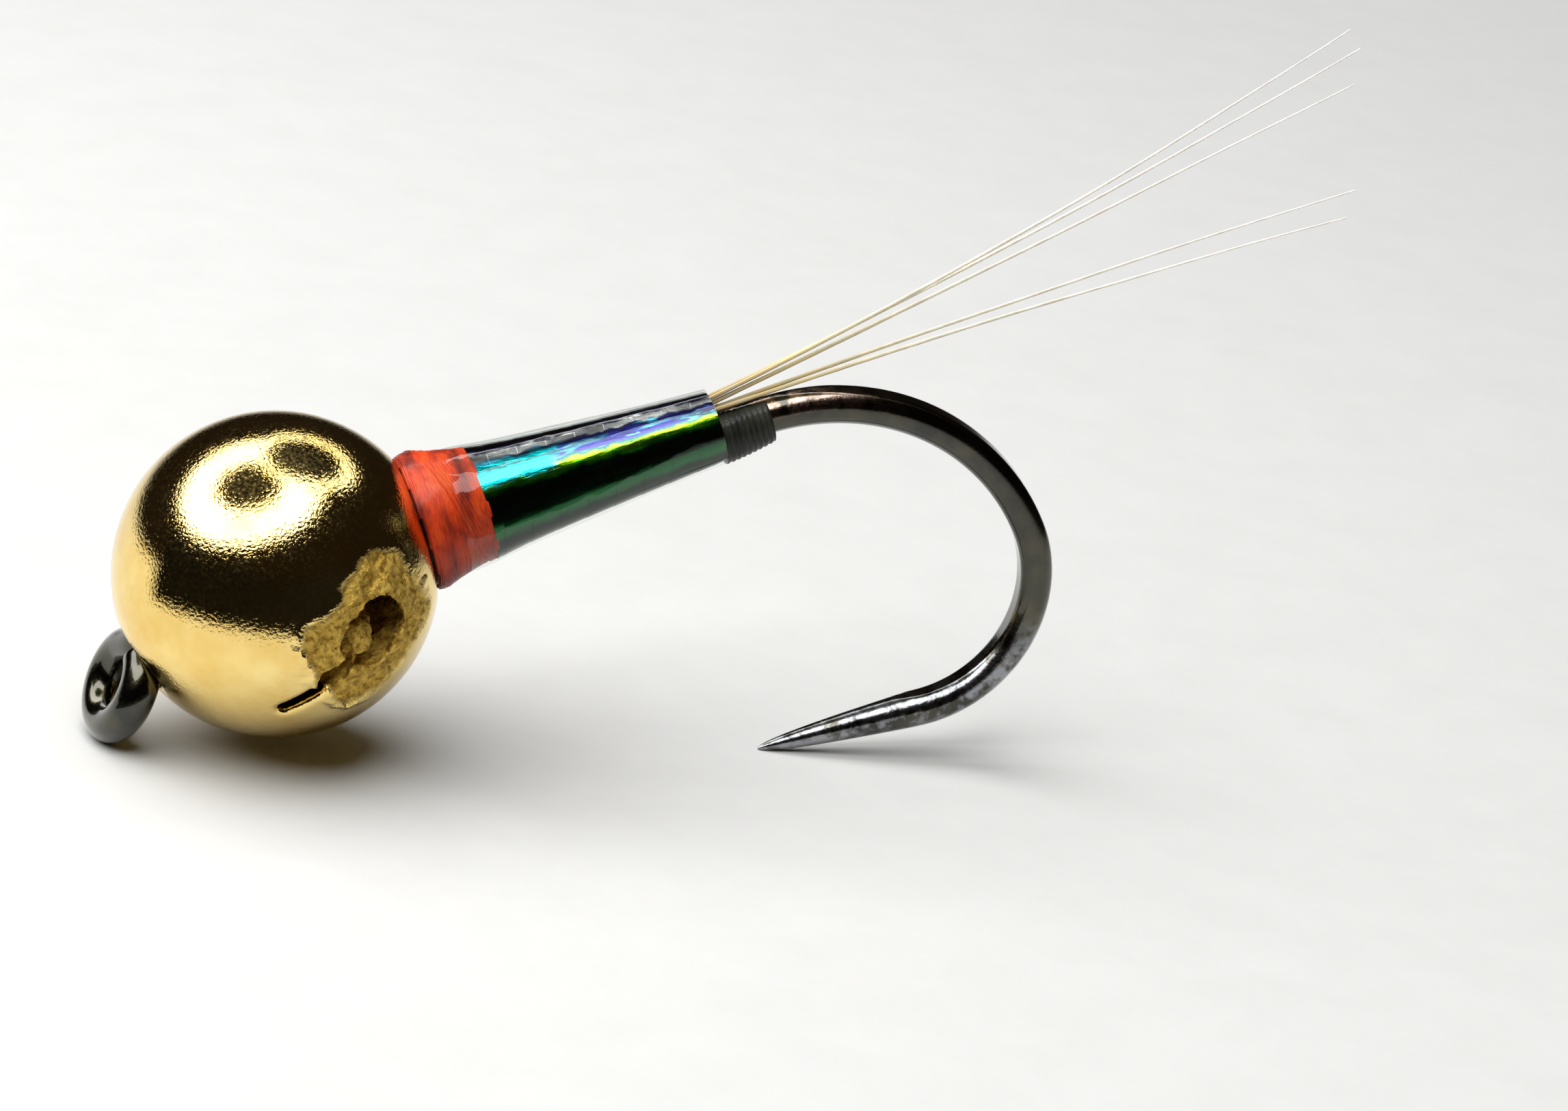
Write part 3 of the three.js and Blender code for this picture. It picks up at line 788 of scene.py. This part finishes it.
def tinsel_parts():
    """One strip of film wound rearwards, each turn lapping the last, in small flat facets."""
    turns, half, front = 9, 0.28, 3.04
    angles = np.linspace(0, 2 * math.pi * turns, turns * 72)
    middle = np.linspace(front - half + 0.08, BODY_END + half - 0.18, len(angles))
    rings = []
    for angle, x in zip(angles, middle):
        facet = 0.010 * math.cos(8 * angle + 0.7)
        section = []
        for along, out in ((-half, -1), (half, -1), (half, 1), (0, 1.2), (-half, 1)):
            at = min(max(x + along, front), BODY_END)
            lap = -0.004 * along / half
            radius = body_radius(at) - 0.052 + lap + facet + 0.012 * out
            section.append(round_body(at, angle + math.pi, radius))
        rings.append(section)
    return [skin(rings)]


def resin_rings():
    """A smooth clear skin, closed at both ends, with its inside face below the film."""

    def outside(x, angles):
        wave = 0.008 * np.sin(2.3 * x + 1.0) * np.sin(2 * angles + 0.5)
        return body_radius(x) + wave

    def inside(x, angles):
        return np.full_like(angles, body_radius(x) - 0.13)

    along = np.linspace(RESIN_START, BODY_END, 70)
    tuck = 0.06 * np.clip(1 - (along - RESIN_START) / 0.5, 0, 1) ** 2
    outer = []
    for x, drop in zip(along, tuck):
        outer.extend(lathe([x], lambda at, a, drop=drop: outside(at, a) - drop, RESIN_SIDES))
    inner = lathe(along[::-1], inside, RESIN_SIDES)
    return outer + inner


def tail_wrap_rings():
    """Close turns of dark thread that narrow to the wire, hollowed on top for the fibres."""
    axis = BODY_AXIS - np.array([0, 0, 0.12])
    pitch, length_of_wraps, bed = 0.085, 0.78, 0.25
    rings = []
    for x in np.arange(0.004, length_of_wraps, 0.012):
        share = x / length_of_wraps

        def radius(at, angles, share=share):
            wound = np.abs(np.sin(math.pi * (at - BODY_END) / pitch - angles / 2))
            return 0.44 - 0.10 * share**1.5 + 0.022 * wound

        ring = lathe([BODY_END + x], radius, 48, axis)[0]
        over = ring[:, 2] - (SHANK_HEIGHT + bed)
        ring[:, 2] -= np.where(over > 0, over * 0.85, 0)
        rings.append(ring)
    return rings


# ---- Tail ----
# Each fibre: row up and column across in the bundle, length, rise and sideways splay in
# degrees, and how far it bows.
TAIL = [
    (2, 0, 10.6, 13.5, -0.4, 0.81),
    (2, 1, 10.7, 10.9, 0.7, 0.54),
    (1, 0, 10.4, 9.2, 0.3, 0.14),
    (0, 0, 10.0, 0.8, 0.3, -0.27),
    (0, -1, 9.7, -0.6, -1.0, -0.36),
]
FIBRE_PITCH = 0.08
FIBRE_BED = 0.36
FIBRE_BUTT_RADIUS = 0.035
FIBRE_TIP_RADIUS = 0.010
FIBRE_SWAY = 0.03


def fibre_rings(index, row, column, fibre_length, rise, splay, curl):
    """One tapered fibre, which bows by curl and sways a little on its way to the tip."""
    root_x = BODY_AXIS[0] + BODY_END + 0.012
    root_z = SHANK_HEIGHT + FIBRE_BED + row * FIBRE_PITCH
    start = np.array([root_x, column * FIBRE_PITCH, root_z])
    reach = fibre_length * math.cos(math.radians(rise))
    share = np.linspace(0, 1, 90)
    run = reach * share
    sway = np.array([wavy(s * 4.0, index + 11) for s in share]) * FIBRE_SWAY * share
    dip = np.array([wavy(s * 3.0, index + 31) for s in share]) * FIBRE_SWAY * share
    path = np.stack(
        [
            start[0] + run,
            start[1] + run * math.tan(math.radians(splay)) + sway,
            start[2] + run * math.tan(math.radians(rise)) + curl * (share**2 - share) + dip,
        ],
        axis=-1,
    )
    nodes = np.array([1 + 0.10 * wavy(s * 26.0, index) for s in share])
    radii = (FIBRE_BUTT_RADIUS + (FIBRE_TIP_RADIUS - FIBRE_BUTT_RADIUS) * share) * nodes
    return swept(path, radii, 8, (0, 1, 0))


# ---- Build the pieces ----
hook_metal = hook_material()
gold = bead_material()
# The last number for each thread is how dark its painted shade underneath gets.
dark_thread = thread_material(
    "dark_thread", (0.02, 0.022, 0.014), (0.006, 0.006, 0.004), (0.05, 0.05, 0.035), 0.4
)
bright_thread = thread_material(
    "orange_red_thread", (0.58, 0.045, 0.004), (0.13, 0.007, 0.002), (0.70, 0.11, 0.008), 0.8
)

piece("wire_hook", [skin(hook_rings())], hook_metal, "jig_hook")

bead_points, bead_faces, bead_rim = bead_parts()
bead = piece("bead_shell", [(bead_points, bead_faces)], gold, "slotted_bead")
mask = bead.data.attributes.new("slot_rim", "FLOAT", "POINT")
mask.data.foreach_set("value", bead_rim)

wraps = [skin(underbody_rings())]
piece("underbody_wraps", wraps, dark_thread, "underbody_thread")
piece("collar_strands", collar_parts(), bright_thread, "collar_thread")
piece("tinsel_strip", tinsel_parts(), tinsel_material(), "body_tinsel")
resin = [skin(resin_rings(), looped=True)]
piece("resin_shell", resin, resin_material(), "resin_coat")
tail_wraps = [skin(tail_wrap_rings())]
piece("tail_wraps", tail_wraps, dark_thread, "tail_binding_thread")
straw = fibre_material()
for i, fibre in enumerate(TAIL, start=1):
    rings = fibre_rings(i, *fibre)
    piece(f"tail_hair_{i}", [skin(rings)], straw, f"tail_fibre_{i}")


# ---- Stage: floor, dark cards, lamps, camera ----
DISC_SIDES = 64
FLOOR_HALF_WIDTH = 2.0
FLOOR_GLOW = {"near": 14.0, "far": 130.0, "brightest": 0.62}  # near and far from the eye


def flat_material(name, colour, glow=0.0):
    shader = Shader(name, roughness=0.8, specular_ior_level=0.1)
    shader.set("Base Color", (*colour, 1.0))
    if glow:
        shader.set("Emission Color", (*colour, 1.0))
        shader.set("Emission Strength", glow)
    return shader.material


def stage_mesh(name, points, faces, material, mirrored_only=False):
    """A stage object from points in row metres. mirrored_only shows it in reflections alone."""
    mesh = bpy.data.meshes.new(name)
    mesh.from_pydata([tuple(p) for p in points], [], faces)
    mesh.materials.append(material)
    obj = bpy.data.objects.new(name, mesh)
    bpy.context.scene.collection.objects.link(obj)
    if mirrored_only:
        obj.visible_camera = False
        obj.visible_diffuse = False
        obj.visible_shadow = False


def facing(direction):
    """A rotation whose local -Z looks along direction."""
    return Vector(direction).to_track_quat("-Z", "Y").to_matrix()


def disc(name, towards, distance, material, outer, inner=0.0):
    """A disc, or a ring if it has an inner radius, hung over the bead square to the line to it."""
    turn = facing([-c for c in towards])
    centre = bead_centre + Vector(towards).normalized() * distance
    angles = np.linspace(0, 2 * math.pi, DISC_SIDES, endpoint=False)

    def circle(radius):
        spokes = [Vector((radius * math.cos(a), radius * math.sin(a), 0)) for a in angles]
        return [centre + turn @ spoke for spoke in spokes]

    points = circle(outer)
    faces = [tuple(range(DISC_SIDES))]
    if inner:
        points += circle(inner)
        after = [(i + 1) % DISC_SIDES for i in range(DISC_SIDES)]
        faces = [(i, j, DISC_SIDES + j, DISC_SIDES + i) for i, j in enumerate(after)]
    stage_mesh(name, points, faces, material, mirrored_only=True)


bead_centre = Vector(to_row(BEAD_CENTRE))
floor_z = cad_box[0][2]
half = FLOOR_HALF_WIDTH
corners = [(-half, -half), (half, -half), (half, half), (-half, half)]
floor_shader = Shader("pale_floor", roughness=0.75, specular_ior_level=0.2)
grain = floor_shader.noise(floor_shader.fly_axes(), 0.8, 4.0)
far_off = floor_shader.add("VectorMath", [(0, floor_shader.fly_axes())], operation="LENGTH")
reach = (FLOOR_GLOW["near"], FLOOR_GLOW["far"])
glow = floor_shader.spread(far_off.outputs["Value"], *reach, 0.0, FLOOR_GLOW["brightest"])
seen_directly = floor_shader.add("LightPath").outputs["Is Camera Ray"]
floor_shader.set("Emission Color", (1.0, 1.0, 1.0, 1.0))
floor_shader.set("Emission Strength", floor_shader.math("MULTIPLY", glow, seen_directly))
pale = floor_shader.ramp(grain, [(0.3, (0.49, 0.49, 0.48)), (0.7, (0.51, 0.51, 0.50))])
floor_shader.set("Base Color", pale)
stage_mesh("floor", [(x, y, floor_z) for x, y in corners], [(0, 1, 2, 3)], floor_shader.material)

# A low dark card in front of the bead and dark discs under the lamp give the mirror-like
# metal something dark to show. One disc has a thin bright ring round it.
dark_card = flat_material("dark_card", (0.006, 0.005, 0.004))
front = VIEW_AZIMUTH - math.pi / 2
card_radius, card_height, card_posts = 0.009, 0.006, 40
half_sweep = math.radians(75)
sweep = np.linspace(front - half_sweep, front + half_sweep, card_posts)
foot = [
    (bead_centre.x + card_radius * math.cos(a), bead_centre.y + card_radius * math.sin(a), floor_z)
    for a in sweep
]
head = [(x, y, floor_z + card_height) for x, y, _ in foot]
strips = [(i, i + 1, card_posts + i + 1, card_posts + i) for i in range(card_posts - 1)]
stage_mesh("front_card", foot + head, strips, dark_card, mirrored_only=True)

lamp_way = (-0.372, 0.025, 0.930)
disc("lamp_shade", lamp_way, 0.030, dark_card, outer=0.0105)
ring_way = (0.21, 0.298, 0.93)
disc("ring_shade", ring_way, 0.024, dark_card, outer=0.0085)
ring_glow = flat_material("ring_glow", (1, 1, 0.95), 4.0)
disc("ring_lamp", ring_way, 0.0239, ring_glow, outer=0.0105, inner=0.0088)


def area_light(name, towards, distance, size, radiance):
    """A round lamp of this brightness, aimed at the bead from the given direction."""
    lamp = bpy.data.lights.new(name, "AREA")
    lamp.shape = "DISK"
    lamp.size = size
    lamp.energy = radiance * math.pi * math.pi * (size / 2) ** 2
    obj = bpy.data.objects.new(name, lamp)
    place = bead_centre + Vector(towards).normalized() * distance
    obj.matrix_world = Matrix.Translation(place) @ facing([-c for c in towards]).to_4x4()
    bpy.context.scene.collection.objects.link(obj)


area_light("top_lamp", lamp_way, distance=0.060, size=0.11, radiance=5.0)

world = bpy.data.worlds.new("studio")
bpy.context.scene.world = world
world.use_nodes = True
tree = world.node_tree
room = tree.nodes["Background"]
room.inputs["Color"].default_value = (0.014, 0.010, 0.007, 1)
room.inputs["Strength"].default_value = 1.0
backdrop = tree.nodes.new("ShaderNodeBackground")
backdrop.inputs["Color"].default_value = (0.95, 0.95, 0.95, 1)
seen = tree.nodes.new("ShaderNodeLightPath").outputs["Is Camera Ray"]
choice = tree.nodes.new("ShaderNodeMixShader")
tree.links.new(seen, choice.inputs["Fac"])
tree.links.new(room.outputs[0], choice.inputs[1])
tree.links.new(backdrop.outputs[0], choice.inputs[2])
tree.links.new(choice.outputs[0], tree.nodes["World Output"].inputs["Surface"])

bpy.context.scene.view_settings.view_transform = "Standard"

camera_data = bpy.data.cameras.new("camera")
camera_data.sensor_width = 36.0
camera_data.lens = LENS
camera_data.clip_start = 0.001
camera_data.clip_end = 20.0
camera = bpy.data.objects.new("camera", camera_data)
bpy.context.scene.collection.objects.link(camera)
bpy.context.scene.camera = camera
level_right = Vector((math.cos(VIEW_AZIMUTH), math.sin(VIEW_AZIMUTH), 0))
back = Vector(
    (
        math.sin(VIEW_AZIMUTH) * math.cos(VIEW_ELEVATION),
        -math.cos(VIEW_AZIMUTH) * math.cos(VIEW_ELEVATION),
        math.sin(VIEW_ELEVATION),
    )
)
level_up = back.cross(level_right)
right = math.cos(VIEW_ROLL) * level_right + math.sin(VIEW_ROLL) * level_up
up = math.cos(VIEW_ROLL) * level_up - math.sin(VIEW_ROLL) * level_right
eye = bead_centre + (VIEW_DISTANCE * back + VIEW_SHIFT[0] * right + VIEW_SHIFT[1] * up) * 0.001
turn = Matrix((right, up, back)).transposed()
camera.matrix_world = Matrix.Translation(eye) @ turn.to_4x4()
